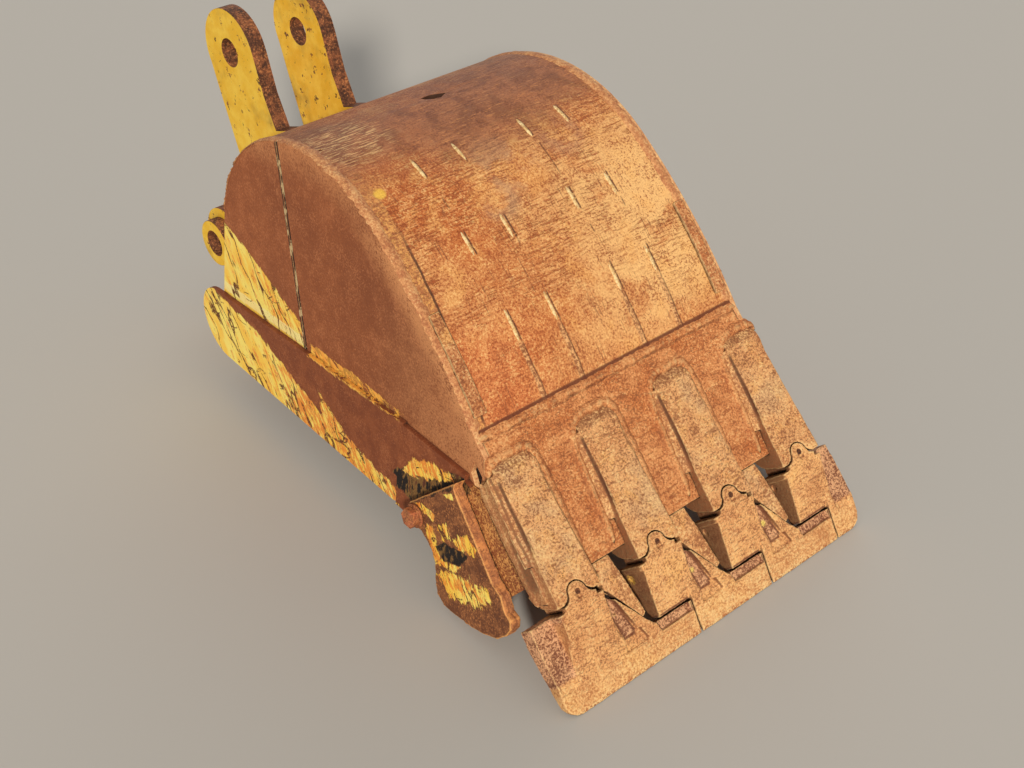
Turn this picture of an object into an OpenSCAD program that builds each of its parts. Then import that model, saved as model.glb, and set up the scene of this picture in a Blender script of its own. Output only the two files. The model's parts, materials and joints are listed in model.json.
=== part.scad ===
// Excavator bucket with four interlocking flat-blade tips, posed mouth down.
// Millimetres, +Z up, +X along the width, +Y from the tips toward the ears.
// The origin is the middle of the lower pin bore's axis.
// Side shapes are drawn as [m, z]: m runs back from the tips, z up from the ground.

/* [Shell] */

// Width over the two side plates, measured at the tips' line
shell_w = 708; // [620:1:900]
// How much each side plate leans in toward the back, degrees
side_lean = 2.3; // [0:0.1:3]
// Thickness of the rolled wrapper plate
wrapper_t = 14; // [8:1:20]
// Thickness of each side plate
side_t = 12; // [8:1:20]
// Radius of the gently rolled front of the wrapper
front_roll_r = 1313; // [1250:1:1400]
// Radius of the tightly rolled heel of the wrapper
heel_roll_r = 374.5; // [360:0.5:385]
// Width of the groove down each side plate
groove_w = 9; // [4:1:14]
// Depth of the groove down each side plate
groove_d = 4; // [2:1:6]

/* [Mouth] */

// Thickness of the lip plate
lip_t = 34; // [24:1:40]
// Length of the lip plate from its weld to its front edge
lip_len = 297; // [260:1:330]
// How far the strip along the mouth stands off the side plate
edge_t = 10; // [6:1:16]
// Radius of the strip's rounded back end
edge_end_r = 87; // [70:1:90]
// Thickness of the bar across the back of the mouth
back_bar_t = 28; // [16:1:40]

/* [Ears] */

// Distance between the middle planes of the two ears
ear_pitch = 180; // [160:1:240]
// Thickness of each ear
ear_t = 36; // [24:1:45]
// Bore of the lower pin
lower_bore = 65; // [45:1:80]
// Bore of the upper pin
upper_bore = 65; // [45:1:80]
// Radius of the boss round the lower pin
pin_boss_r = 58; // [50:1:70]
// How far that boss stands out from the ear
pin_boss_h = 32; // [16:1:50]

/* [Teeth] */

// Distance from a side plate's outer face to the middle of the outer tooth
tooth_inset = 54; // [50:1:70]
// Width of an adapter and of a tip's body
tooth_w = 104; // [90:1:110]
// Height of an adapter above the lip at its front end
adapter_h = 26; // [20:1:30]
// Thickness of the flat blade in front, at its rear edge
blade_t = 30; // [24:1:36]
// Radius of the blade's outer front corners
blade_r = 36; // [20:1:50]
// Gap left between neighbouring tips, and between a tip and its adapter
tip_gap = 3; // [1:0.1:4]
// Radius of the round lug that keys each tip to its adapter
lug_r = 19.5; // [15:0.5:22]

/* [Side cutters] */

// Thickness of each side cutter
cutter_t = 24; // [16:1:32]
// How far each cutter leans out, degrees
cutter_lean = 6; // [2:0.5:10]
// Size of the hexagon bolt head across the flats
bolt_af = 36; // [24:1:46]
// Height of the bolt head
bolt_h = 15; // [10:1:22]

/* [Hidden] */

$fn = 96;
lip_a = 46.9;
low_pin = [1573, 186];
top_pin = [1442, 713];
seam = [333, 407];
a0 = 55;
t1 = 17.4;
t2 = 114;
a1 = a0 - t1;
a2 = a1 - t2;
half_w = shell_w / 2;
roll_steps = 12;
heel_steps = 38;
c1 = seam - front_roll_r * normal(a0);
p1 = c1 + front_roll_r * normal(a1);
c2 = p1 - heel_roll_r * normal(a1);
p2 = c2 + heel_roll_r * normal(a2);
back_len = 300;
p3 = p2 + back_len * heading(a2);
back_bar_w = 75;
back_end = p3 + back_bar_w * heading(a2);
heel_strip_w = 42;
heel_strip_t = 7;
mouth_z = back_end[1] - 23;
tooth_pitch = (shell_w - 2 * tooth_inset) / 3;
tooth_shift = -8;
strap_u = 214;
strap_t = 24;
strap_w = 70;
part_u = 334;
rear_u = 343;
body_u = 452;
tip_u = 523;
blade_v = -18;
wing_v = -23;
split_x = 41;
left_reach = 101;
right_reach = 113;
cutter_top = 320;
cutter_edge_v = -92;
ear_x = ear_pitch / 2 - ear_t / 2;

// Side drawing stood up: [m, z] becomes Y and Z, thickness runs along X.
module side_prism(pts, x0, h) {
  translate([x0, -low_pin[0], -low_pin[1]])
    rotate([90, 0, 90])
      linear_extrude(height = h)
        polygon(pts);
}

module side_disc(c, r, x0, h) {
  translate([x0, c[0] - low_pin[0], c[1] - low_pin[1]])
    rotate([90, 0, 90])
      cylinder(r = r, h = h);
}

// The lip's own frame: x across, y back up the lip, z out of its face.
module on_lip() {
  translate([0, seam[0] - low_pin[0], seam[1] - 2 - low_pin[1]])
    rotate([lip_a, 0, 0])
      children();
}

// Pieces drawn for the left side, thickness inward from the side's outer face.
module on_left() {
  translate([-half_w, -low_pin[0], 0])
    rotate([0, 0, -side_lean])
      translate([0, low_pin[0], 0])
        children();
}

module on_side(s) {
  if (s < 0) on_left() children();
  else mirror([1, 0, 0]) on_left() children();
}

module pair(s) {
  if (s < 0) children();
  else mirror([1, 0, 0]) children();
}

// Everything outside the side plates' inner faces.
module outside_of_sides() {
  for (s = [-1, 1])
    on_side(s)
      translate([side_t - 600, -2000, -800])
        cube([600, 3500, 2000]);
}

// The wrapper's outer line stepped back by k: front roll, heel roll, straight back.
function heading(a) = [cos(a), sin(a)];
function normal(a) = [-sin(a), cos(a)];
function front_roll(k, from = 0, to = 1) = [for (i = [from * roll_steps:to * roll_steps])
  c1 + (front_roll_r - k) * normal(a0 - t1 * i / roll_steps)];
function heel_roll(k) = [for (i = [1:heel_steps])
  c2 + (heel_roll_r - k) * normal(a1 - t2 * i / heel_steps)];
function shell_line(k) = concat(front_roll(k), heel_roll(k), [p3 - k * normal(a2)]);
function turned(line) = [for (i = [len(line) - 1:-1:0]) line[i]];

// A torn slit in the top of the shell, drawn as [across, m].
slit_pts = [[-12, 883], [11, 885], [24, 879], [35, 872], [41, 869], [20, 858],
  [3, 862], [-9, 872]];

module wrapper() {
  color("sienna")
    difference() {
      side_prism(concat(shell_line(0), turned(shell_line(wrapper_t))), -half_w, shell_w);
      outside_of_sides();
      translate([0, -low_pin[0], 500])
        linear_extrude(height = 200)
          polygon(slit_pts);
      translate([63 - half_w, 827 - low_pin[0], 500])
        cylinder(r = 4, h = 200, $fn = 24);
    }
}

module lip() {
  color("peru")
    difference() {
      on_lip()
        translate([-half_w, -lip_len, -lip_t])
          cube([shell_w, lip_len, lip_t]);
      outside_of_sides();
    }
}

// A point of the lip's frame, u down the lip and v out of its face, as [m, z].
function lip_pt(u, v) = seam - [0, 2] + u * [-cos(lip_a), -sin(lip_a)]
  + v * [-sin(lip_a), cos(lip_a)];

side_pts = concat(shell_line(0), [back_end, back_end - [26, 23], [560, mouth_z],
  [330, mouth_z + 22], lip_pt(strap_u - 0.3, -lip_t - strap_t - 12),
  lip_pt(strap_u - 0.3, -lip_t), lip_pt(lip_len, -lip_t), lip_pt(lip_len, 0),
  lip_pt(6, 0)]);

module side_plate(s) {
  color("saddlebrown")
    on_side(s)
      difference() {
        side_prism(side_pts, 0, side_t);
        side_prism([[941, 800], [941 + groove_w, 800], [905 + groove_w, 300],
          [905, 300]], -1, groove_d + 1);
        side_prism([lip_pt(36, -38), lip_pt(66, -38), lip_pt(74, -50), lip_pt(92, -62),
          lip_pt(84, -78), lip_pt(50, -66)], -1, side_t + 2);
      }
}

// The bar under each side cutter: its front edge runs beside the lip.
bar_pts = [lip_pt(60, -84), lip_pt(94, -62), lip_pt(112, -48), lip_pt(280, -47), lip_pt(286, -90),
  [300, mouth_z + 30], [560, mouth_z + 27], [560, cutter_top - 3], [352, cutter_top - 3]];

module on_cutter(s) {
  on_side(s)
    translate([-edge_t, 0, cutter_top - low_pin[1]])
      rotate([0, cutter_lean, 0])
        translate([0, 0, low_pin[1] - cutter_top])
          children();
}

module side_edge(s) {
  color("goldenrod")
    union() {
      on_side(s)
        side_prism(concat([[548, 322], [548, mouth_z + 22], [600, mouth_z]], [for (i = [0:18])
          [1258, mouth_z - 2 + edge_end_r] - edge_end_r * heading(90 + 10 * i)]),
          -edge_t, edge_t);
      difference() {
        on_side(s)
          side_prism(bar_pts, -60, 60);
        on_cutter(s)
          translate([-400, -2000, -800])
            cube([400, 3500, 2000]);
      }
    }
}

module back_bar() {
  color("sienna")
    difference() {
      side_prism([p3, back_end, back_end - back_bar_t * normal(a2),
        p3 - back_bar_t * normal(a2)], -half_w, shell_w);
      outside_of_sides();
    }
}

ear_pts = [[1060, 600], [1120, 641], [1283, 583], [1319, 652], [1347, 740],
  [1442, 760], [1538, 694], [1503, 597], [1452, 463], [1440, 400], [1452, 330],
  [1500, 262], [1573, 220], [1573, 108], [1290, 118], [1262, 190], [1150, 400]];

module ear(s) {
  color("gold")
    pair(s)
      difference() {
        union() {
          side_prism(ear_pts, -ear_x - ear_t, ear_t);
          side_disc(top_pin, 98, -ear_x - ear_t, ear_t);
          side_disc(low_pin, 80, -ear_x - ear_t, ear_t);
        }
        side_disc(top_pin, upper_bore / 2, -ear_x - ear_t - 5, ear_t + 10);
        side_disc(low_pin, lower_bore / 2, -ear_x - ear_t - 5, ear_t + 10);
        side_prism(concat(shell_line(0), [p3 + 200 * heading(a2), [900, 0]]),
          -ear_x - ear_t - 5, ear_t + 10);
      }
}

module pin_boss(s) {
  color("gray")
    pair(s)
      difference() {
        side_disc(low_pin, pin_boss_r, -ear_x - ear_t - pin_boss_h, pin_boss_h);
        side_disc(low_pin, lower_bore / 2, -ear_x - ear_t - pin_boss_h - 5,
          pin_boss_h + 10);
      }
}

function tooth_x(i) = (i - 2.5) * tooth_pitch + tooth_shift;
// Height of the sloping top of a tip's body.
function rise(u) = adapter_h - (u - part_u) * 0.4;

// Profile seen from the side in the lip's frame, drawn as [back, up].
module lip_prism(pts, x0, w) {
  translate([x0, 0, 0])
    rotate([90, 0, 90])
      linear_extrude(height = w)
        polygon(pts);
}

// Outline seen square onto the lip, drawn as [across from the tooth, down the lip].
module lip_plan(pts, x, z0, h) {
  translate([x, 0, z0])
    linear_extrude(height = h)
      polygon([for (p = pts) [p[0], -p[1]]]);
}

// The lug with its two flared roots, grown by g.
module lug_shape(g, z0, h) {
  translate([0, 0, z0])
    linear_extrude(height = h)
      difference() {
        union() {
          translate([0, -part_u + 13])
            circle(r = lug_r + g);
          translate([-lug_r - 18 + g, -part_u - 20])
            square([2 * lug_r + 36 - 2 * g, 33]);
        }
        for (m = [-1, 1])
          translate([m * (lug_r + 18), -part_u + 18 + g])
            circle(r = 18 - g);
      }
}

half_t = tooth_w / 2;
adapter_side = [[-54, 0], [-74, 9], [-part_u + tip_gap, adapter_h],
  [-part_u + tip_gap, 8], [-329, 0], [-327, -18], [-323, -32], [-317, -43], [-309, -52],
  [-300, -58], [-lip_len, -60], [-lip_len, 0]];
adapter_top = [[-24, 52], [50, 52], [57, 60], [58, 84], [half_t + 1, 120],
  [half_t + 1, 334], [-half_t, 334], [-half_t + 6, 249], [-half_t + 14, 195],
  [-half_t + 19, 136], [-half_t + 19, 62]];

// Long weld along an adapter's flank, from its top edge out onto the lip.
module flank_weld(s, x0, turn, len) {
  translate([x0, -76, 0])
    rotate([0, 0, turn])
      rotate([90, 0, 0])
        linear_extrude(height = len)
          polygon([[-s * 4, 0], [-s * 4, 9], [0, 9], [s * 9, 5], [s * 19, 0]]);
}

// The outer adapter on the left wraps down over the side plate.
module cheek() {
  for (band = [[14, 3, 44, 0], [11, -8, 32, 6], [17, -27, 15, 3]])
    on_left()
      side_prism([lip_pt(70 + band[3], band[1]), lip_pt(318, band[1]),
        lip_pt(317, band[1] - band[2] * 0.45), lip_pt(311, band[1] - band[2] * 0.75),
        lip_pt(303, band[1] - band[2]),
        lip_pt(110, band[1] - band[2]), lip_pt(80 + band[3], band[1] - band[2] * 0.7)],
        -band[0], band[0]);
}

module adapter(i) {
  x = tooth_x(i);
  seat = i == 1 ? 0 : 2;
  color("chocolate")
    union() {
      on_lip()
        difference() {
          union() {
            intersection() {
              lip_prism(adapter_side, x - 100, 200);
              lip_plan(adapter_top, x, -100, 200);
            }
            lip_prism([[-lip_len + 3, -lip_t], [-strap_u, -lip_t],
              [-strap_u - 14, -lip_t - strap_t], [-lip_len - 9, -lip_t - strap_t],
              [-lip_len - 9, -lip_t]], x - strap_w / 2, strap_w);
            lip_prism([[-300, 8], [-rear_u + 0.3, 8], [-rear_u + 0.3, -54], [-300, -54]],
              x - 34, 68);
            flank_weld(-1, x - half_t + 19, -4.5, 170);
            if (i < 4) flank_weld(1, x + half_t + 1, 0, 170);
            if (i < 4)
              intersection() {
                lip_plan([[46, lip_len + 0.01], [tooth_pitch - 92, lip_len + 0.01],
                  [tooth_pitch - 85, 333], [tooth_pitch - 66, 426],
                  [tooth_pitch - 76, 432], [74 - seat, 356], [58.5, rear_u],
                  [58.5, 328], [46, 328]], x, -100, 200);
                lip_prism([[-lip_len, 0], [-340, -2], [-440, -15], [-440, -33],
                  [-lip_len, -24]], x, 200);
              }
          }
          translate([x, 0, 0])
            lug_shape(tip_gap * 0.75, 8, 60);
        }
      if (i == 1) cheek();
    }
}

// Solid under a tip's sloping top, between two heights at its rear end.
body_side = [[-rear_u, rise(rear_u)], [-body_u, rise(body_u)], [-body_u, -50],
  [-rear_u, -58]];
blade_side = [[0, 40], [-body_u + 40, blade_v + 11], [-body_u - 4, blade_v + 1],
  [-500, -26.5], [-tip_u + 5, -29.5], [-tip_u, -33], [-tip_u + 1.5, -35.4],
  [-500, -44], [-body_u - 4, blade_v - blade_t], [-body_u + 60, blade_v - blade_t - 6],
  [0, -60]];
// Each outline starts at its rear left; the wing reaches across the next tip.
function wing_pts(next) = [[52, rear_u + 4], [62, rear_u + 7],
  [next - 74, 436], [next - 60, 451], [next - 54, body_u + tip_gap + 1],
  [next + split_x - tip_gap, body_u + tip_gap + 1], [next + split_x - tip_gap, 540],
  [split_x, 540], [split_x, 400], [40, rear_u + 2]];

module tip(i) {
  x = tooth_x(i);
  color("peru")
    on_lip()
      difference() {
        union() {
          intersection() {
            lip_prism(body_side, x - 100, 200);
            lip_plan([[-half_t, rear_u], [-half_t + 12, body_u], [60, body_u],
              [half_t + 7, 426], [half_t, 357], [half_t, rear_u]], x, -100, 200);
          }
          lip_prism([[-rear_u, rise(rear_u) - 3], [-rear_u - 11, rise(rear_u + 11) - 3],
            [-rear_u - 11, -54], [-rear_u, -55]], x - half_t - 3, tooth_w + 6);
          intersection() {
            translate([x, 0, 0])
              lug_shape(0, 8.3, 40);
            lip_prism([[0, 0], [0, adapter_h], [-part_u, adapter_h],
              [-rear_u - 2, rise(rear_u + 2)], [-rear_u - 2, 0]], x - 100, 200);
          }
          if (i < 4) wing(x);
          if (i == 4) flange(x, 1);
          if (i == 1) flange(x, -1);
        }
        for (m = [-1, 1])
          translate([x + m * half_t, -367, -36])
            rotate([0, 90, 0])
              cylinder(r = 7, h = 16, center = true, $fn = 24);
        translate([x + 1, -part_u + 14, adapter_h - 3])
          cylinder(r = 6, h = 10, $fn = 32);
        translate([x - 5, -part_u, adapter_h - 3])
          cube([12, 14, 10]);
        translate([x - 3, -part_u - 1, adapter_h - 12])
          cube([11, 5, 20]);
      }
}

// Flat blade with a rib, a pocket beside it and a sunk pad behind the front step.
module wing(x) {
  next = tooth_pitch;
  difference() {
    intersection() {
      lip_plan(wing_pts(next), x, -100, 130);
      lip_prism(blade_side, x, 400);
    }
    lip_plan([[next - 56, body_u - 4], [next + split_x - tip_gap - 8, body_u - 4],
      [next + split_x - tip_gap - 6, 474], [next - 46, 476]], x, wing_v - 3, 40);
    lip_plan([[56, 348], [75, 366], [106, 451], [68, 453], [60, 430]], x, -17, 60);
    lip_plan([[68, 446], [110, 444], [121, 473], [64, 474]], x, wing_v - 2, 60);
  }
}

// The outer tips end in a plain flange with a rounded front corner.
module flange(x, s) {
  reach = s < 0 ? left_reach : right_reach;
  difference() {
    intersection() {
      lip_plan([[s * 20, rear_u], [s * (reach - 3), rear_u], [s * reach, 400],
        [s * reach, 540], [split_x, 540], [split_x, rear_u]], x, -100, 200);
      lip_prism(blade_side, x - 200, 400);
    }
    lip_plan([[s * 30, 300], [s * 250, 300], [s * 250, 455], [s * 60, 457]],
      x, wing_v + 5, 60);
    lip_plan([[s * 58, 454], [s * 95, 452], [s * 98, 474], [s * 66, 478]],
      x, wing_v + 1, 60);
    translate([x + s * reach, -tip_u, -100])
      difference() {
        translate([s < 0 ? -10 : -blade_r, -30, 0])
          cube([blade_r + 10, blade_r + 30, 200]);
        translate([-s * blade_r, blade_r, -1])
          cylinder(r = blade_r, h = 202);
      }
  }
}

module lock(i) {
  color("dimgray")
    on_lip()
      translate([tooth_x(i) + 1, -part_u + 14, adapter_h - 3])
        difference() {
          cylinder(r = 5.7, h = 2.2, $fn = 32);
          translate([-4, -1, 1])
            cube([8, 2, 5]);
        }
}

cutter_pts = [[468, 201], [350, 311], lip_pt(66, cutter_edge_v),
  lip_pt(252, cutter_edge_v + 4), [200, 150], [184, 122], [167, 116], [165, 96],
  [175, 75], [200, 50], [237, 34], [273, 25], [333, 17], [361, 18], [383, 32],
  [391, 58], [395, 95], [410, 122], [442, 142], [476, 140], [490, 166], [484, 186]];

module side_cutter(s) {
  color("goldenrod")
    on_cutter(s)
      side_prism(cutter_pts, -cutter_t, cutter_t);
}

module cutter_bolts(s) {
  color("dimgray")
    on_cutter(s)
      union() {
        side_disc([462, 168], bolt_af * 0.68, -cutter_t - 5, 5);
        translate([-cutter_t - 5 - bolt_h, 462 - low_pin[0], 168 - low_pin[1]])
          rotate([90, 0, 90])
            cylinder(r = bolt_af / 2 / cos(30), h = bolt_h, $fn = 6);
      }
}

module heel_strip(s) {
  color("sienna")
    difference() {
      pair(s)
        side_prism(concat(front_roll(0, 1 / 12, 7 / 12),
          turned(front_roll(-heel_strip_t, 1 / 12, 7 / 12))), -half_w + 14, heel_strip_w);
      outside_of_sides();
    }
}

wrapper();
lip();
side_plate(-1);  // side_plate_left
side_plate(1);  // side_plate_right
side_edge(-1);  // side_edge_left
side_edge(1);  // side_edge_right
back_bar();
ear(-1);  // ear_left
ear(1);  // ear_right
pin_boss(-1);  // pin_boss_left
pin_boss(1);  // pin_boss_right
adapter(1);  // adapter_1
adapter(2);  // adapter_2
adapter(3);  // adapter_3
adapter(4);  // adapter_4
tip(1);  // tip_1
tip(2);  // tip_2
tip(3);  // tip_3
tip(4);  // tip_4
lock(1);  // lock_1
lock(2);  // lock_2
lock(3);  // lock_3
lock(4);  // lock_4
side_cutter(-1);  // side_cutter_left
side_cutter(1);  // side_cutter_right
cutter_bolts(-1);  // cutter_bolts_left
cutter_bolts(1);  // cutter_bolts_right
heel_strip(-1);  // heel_strip_left
heel_strip(1);  // heel_strip_right
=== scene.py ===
"""Looks of a worn four-tooth digging bucket, built round its CAD solids.

Everything is in metres in the part's own frame: +X across the bucket, +Y from the tips
toward the ears, +Z up, with the origin in the middle of the lower pin bores. Three kinds of
places are written otherwise. On the side drawing, in millimetres, m runs back from the tips
and z up from the ground. On the shell, in millimetres, x runs across and along follows its
side line from the lip. On the lip, in metres, u runs down its face and v out of it.
"""

import json
import math

import bpy
from mathutils import Matrix, Vector, noise


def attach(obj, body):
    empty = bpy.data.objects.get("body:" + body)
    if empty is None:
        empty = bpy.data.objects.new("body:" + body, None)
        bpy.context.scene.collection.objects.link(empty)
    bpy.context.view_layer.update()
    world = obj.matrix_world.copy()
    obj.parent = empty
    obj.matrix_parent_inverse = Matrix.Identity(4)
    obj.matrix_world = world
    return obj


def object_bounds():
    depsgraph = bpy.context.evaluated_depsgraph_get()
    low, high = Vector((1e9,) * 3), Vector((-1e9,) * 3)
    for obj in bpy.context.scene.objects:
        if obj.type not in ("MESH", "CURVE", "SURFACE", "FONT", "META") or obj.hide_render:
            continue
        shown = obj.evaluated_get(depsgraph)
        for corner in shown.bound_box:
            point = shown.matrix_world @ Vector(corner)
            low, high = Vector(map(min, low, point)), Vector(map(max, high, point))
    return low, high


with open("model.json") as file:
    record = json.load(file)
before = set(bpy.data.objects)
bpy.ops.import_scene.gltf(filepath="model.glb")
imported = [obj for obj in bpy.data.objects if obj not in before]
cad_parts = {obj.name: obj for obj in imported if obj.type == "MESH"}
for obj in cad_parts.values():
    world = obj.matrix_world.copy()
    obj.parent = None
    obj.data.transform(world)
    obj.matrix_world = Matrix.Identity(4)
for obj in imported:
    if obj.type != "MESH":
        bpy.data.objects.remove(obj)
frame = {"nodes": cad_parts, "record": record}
cad_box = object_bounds()
nodes = frame["nodes"]

TIPS_Y = -1.573
GROUND_Z = -0.186

# The shell's side line: it starts at the lip's weld and is rolled twice, as radius and turn.
SEAM = (333, 407)
SEAM_HEADING = 55.0
ROLLS = ((1313, 17.4), (374.5, 114))
ROLLS_MEET = ROLLS[0][0] * math.radians(ROLLS[0][1])
HALF_WIDTH = 354
SIDE_LEAN = math.tan(math.radians(2.3))

# The lip's upper end on the side drawing, and how steeply its face runs down.
LIP_START = (333, 405)
LIP_ANGLE = math.radians(46.9)
TOOTH_PITCH = 0.2
TOOTH_X = [-0.308 + TOOTH_PITCH * i for i in range(4)]
LAST_TOOTH = (len(TOOTH_X) - 1) * TOOTH_PITCH

CAMERA_AT = Vector((-1.658, -2.876, 1.854))
CAMERA_AIM = Vector((-0.125, -1.091, 0.159))
CAMERA_ROLL = math.radians(-0.49)
CAMERA_LENS = 52.7

# Each light's strength, its spread in degrees, the way to it and its colour.
KEY_LIGHT = (2.85, 6, (-0.62, -0.76, 0.46), (1.0, 0.96, 0.9))
FILL_LIGHT = (0.7, 50, (0.70, 0.65, 0.35), (0.95, 0.97, 1.0))
STUDIO_LIGHT = 0.34
FLOOR_HALF = 30.0


def side_point(m, z):
    """A point of the side drawing as Y and Z in metres."""
    return TIPS_Y + m / 1000, GROUND_Z + z / 1000


def side_y(m):
    return side_point(m, 0)[0]


LIP_TOP = Vector((0, *side_point(*LIP_START)))
LIP_DOWN = Vector((0, -math.cos(LIP_ANGLE), -math.sin(LIP_ANGLE)))
LIP_OUT = Vector((0, -math.sin(LIP_ANGLE), math.cos(LIP_ANGLE)))


def on_lip(x, u, v):
    """A place in metres from the lip's own frame."""
    return LIP_TOP + Vector((x, 0, 0)) + u * LIP_DOWN + v * LIP_OUT


def shell_place(x, along):
    """A place on the shell, from millimetres, and the way out of the plate there."""
    m, z = SEAM
    heading = math.radians(SEAM_HEADING)
    for radius, turn in ROLLS:
        swept = min(along / radius, math.radians(turn))
        m += radius * (math.sin(heading) - math.sin(heading - swept))
        z -= radius * (math.cos(heading) - math.cos(heading - swept))
        heading -= swept
        along -= swept * radius
    m += along * math.cos(heading)
    z += along * math.sin(heading)
    return Vector((x / 1000, *side_point(m, z))), Vector((0, -math.sin(heading), math.cos(heading)))


def shell_spot(x, along):
    return shell_place(x, along)[0]


def shell_height(along):
    return shell_spot(0, along).z


def side_x(place):
    """How far the side plates' outer faces lie from the middle at a place, in metres."""
    return HALF_WIDTH / 1000 - (place.y - TIPS_Y) * SIDE_LEAN


def tint(r, g, b):
    """A colour written as it shows on a screen, 0 to 255, as a linear colour."""
    def line(v):
        v /= 255
        return v / 12.92 if v <= 0.04045 else ((v + 0.055) / 1.055) ** 2.4
    return (line(r), line(g), line(b), 1.0)


# Rust on several pieces, from pale to dark.
RUST_CREAM = tint(255, 212, 144)
RUST_GOLD = tint(246, 178, 98)
RUST_TAN = tint(222, 146, 84)
RUST_ORANGE = tint(206, 114, 54)
RUST_RED = tint(174, 88, 42)
RUST_BROWN = tint(142, 84, 50)
RUST_DARK = tint(92, 54, 34)
RUST_BLACK = tint(30, 20, 15)

# The shell.
SHELL_PALE = tint(255, 200, 128)
SHELL_LOW = tint(226, 130, 74)
SHELL_PIT = tint(156, 74, 32)
SHELL_SPECK = tint(255, 200, 126)
SHELL_SHINE = tint(255, 202, 134)
TRACE_PALE = tint(250, 190, 124)
LEDGE_BROWN = tint(176, 106, 62)
SEAM_BROWN = tint(104, 50, 28)
CROWN_SHADE_TONE = tint(176, 110, 72)
CROWN_SHADE_DARK = tint(136, 76, 46)
DUSTY_PURPLE = tint(184, 124, 92)
WORN_GREY = tint(198, 154, 114)

# The side plates and the strips along the mouth.
SIDE_BROWN = tint(164, 92, 50)
SIDE_LIGHT = tint(196, 122, 76)
SIDE_SHADE = tint(134, 72, 39)
SIDE_WORN = tint(226, 156, 100)
RIM_BROWN = tint(196, 126, 80)
RIM_PALE = tint(232, 168, 112)
STRIP_BROWN = tint(124, 62, 32)
SHADED_PAINT_BROWN = tint(92, 48, 28)

# Paint.
PAINT_YELLOW = tint(255, 204, 76)
PAINT_PALE = tint(255, 228, 112)
PAINT_FOOT_HIGHLIGHT = tint(255, 240, 166)
PAINT_ORANGE = tint(236, 134, 46)
PAINT_CHIP = tint(255, 184, 78)
PAINT_OLIVE = tint(132, 94, 46)
PAINT_BARE = tint(96, 50, 26)
EAR_YELLOW = tint(232, 178, 34)
EAR_PALE = tint(244, 202, 70)

# The side cutters.
CUTTER_SHADE = tint(114, 65, 36)
CUTTER_BROWN = tint(144, 88, 50)
CUTTER_EDGE = tint(176, 112, 70)

# The lip, the adapters, the tips and the heel strips, each as tone, three patches and pits.
LIP_TONE = tint(226, 146, 86)
LIP_PATCHES = (RUST_ORANGE, tint(230, 154, 94), tint(192, 106, 56))
LIP_PIT = tint(150, 80, 42)
LIP_SPECK = tint(255, 196, 128)
ADAPTER_TONE = tint(240, 174, 112)
ADAPTER_PATCHES = (tint(220, 144, 86), tint(214, 168, 120), RUST_GOLD)
ADAPTER_FLANK = tint(170, 108, 66)
TIP_TONE = tint(250, 184, 116)
TIP_PATCHES = (tint(228, 156, 96), tint(255, 192, 112), tint(216, 146, 94))
TIP_PIT = tint(158, 94, 56)
TIP_PURPLE = tint(128, 74, 52)
TIP_PURPLE_SPECK = tint(238, 176, 128)
TIP_STEP_SHADOW = tint(112, 62, 40)
HEEL_TONE = tint(214, 140, 86)
HEEL_PATCHES = (tint(196, 118, 66), RUST_GOLD, RUST_ORANGE)
HEEL_PIT = tint(140, 76, 42)

# Bolts, locks, welds and the floor.
BOLT_RED = tint(184, 104, 66)
LOCK_BROWN = tint(96, 56, 34)
DASH_TAN = tint(220, 172, 104)
WELD_CREAM = tint(252, 224, 164)
CORNER_BROWN = tint(194, 122, 76)
CORNER_PALE = tint(226, 158, 100)
FLOOR_GREY = tint(196, 190, 180)

# Marks on the shell's front fade out over these Y.
FRONT_ENDS = (-0.80, -0.84)
# The left half of the bucket is the one whose paint shows.
LEFT_FROM = (-0.2, -0.25)

# Heights where the shell's marks come in, low first, or go out, high first.
PALE_BOTTOM = (0.20, 0.30)
PALE_TOP = (0.60, 0.46)
LOW_LEFT_TOP = (0.42, 0.30)
SCRATCHED_BOTTOM = (0.18, 0.40)
LEDGE_SHADOW_BOTTOM = (0.225, 0.245)
LEDGE_SHADOW_TOP = (0.54, 0.46)
LEDGE_BAND_TOP = (0.66, 0.5)
CROWN_SHADE_BOTTOM = (0.575, 0.635)

# The dark line above the seam fades out over these places along the shell, and over these Y.
SEAM_LINE = (13, 9)
SEAM_LINE_END = (-1.10, -1.15)
# Worn or stained places on the shell: x, along, radius and colour.
SHELL_SPOTS = ((-12, 470, 62, WORN_GREY), (24, 415, 52, WORN_GREY),
               (150, 455, 64, DUSTY_PURPLE), (-60, 380, 60, WORN_GREY))
BRIGHT_CORNER = (-235, 640)
YELLOW_SPOT = (-272, 478)
SHELL_HOLE = (15, 700)

# The dashes of weld on the shell: x, and where each starts and ends.
DASHES = ((-169, 468, 524), (-70, 476, 525), (92, 470, 523), (188, 470, 522),
          (-171, 298, 350), (-76, 300, 352), (90, 296, 350), (188, 292, 346),
          (-170, 122, 187), (-74, 124, 186), (90, 122, 180), (188, 126, 184))
# The worn columns beside them: x in metres, and the rows where they are clearest.
WEAR_X = (-0.171, -0.074, 0.090, 0.188)
WEAR_ROWS = ((120, 186), (296, 350), (470, 524))
WEAR_TOP = (130, 110)

# The ways on the left side in which the old paint was brushed and has cracked and chipped.
PAINT_RUN = (0, 0.55, 0.83)
BRANCH_RUN = (0, 0.97, -0.25)
CHIP_RUN = (0, 0.90, 0.43)
# The paint on the side is whole behind the first m and worst ahead of the second.
PAINT_AGES = (1180, 900)

# Outlines on the side drawing of the side plate's paint and of its groove, which is painted black as
# shade.
PAINT_BEHIND = ((1450, 580), (1130, 445), (925, 392), (906, 270), (1450, 270))
PAINT_AT_FOOT = ((1262, 276), (1262, 302), (915, 324), (905, 298))
CHIPS_BAND = ((890, 292), (886, 322), (735, 331), (560, 334), (560, 316), (735, 302))
CHIPS_THICKEN = (545, 720)
GROOVE_AT = (909.5, 300)
GROOVE_ACROSS = (0, *Vector((500, -36)).normalized())
WORN_FROM = (560, 420)
WORN_TOWARD = (0, -0.75, -0.2)

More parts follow.
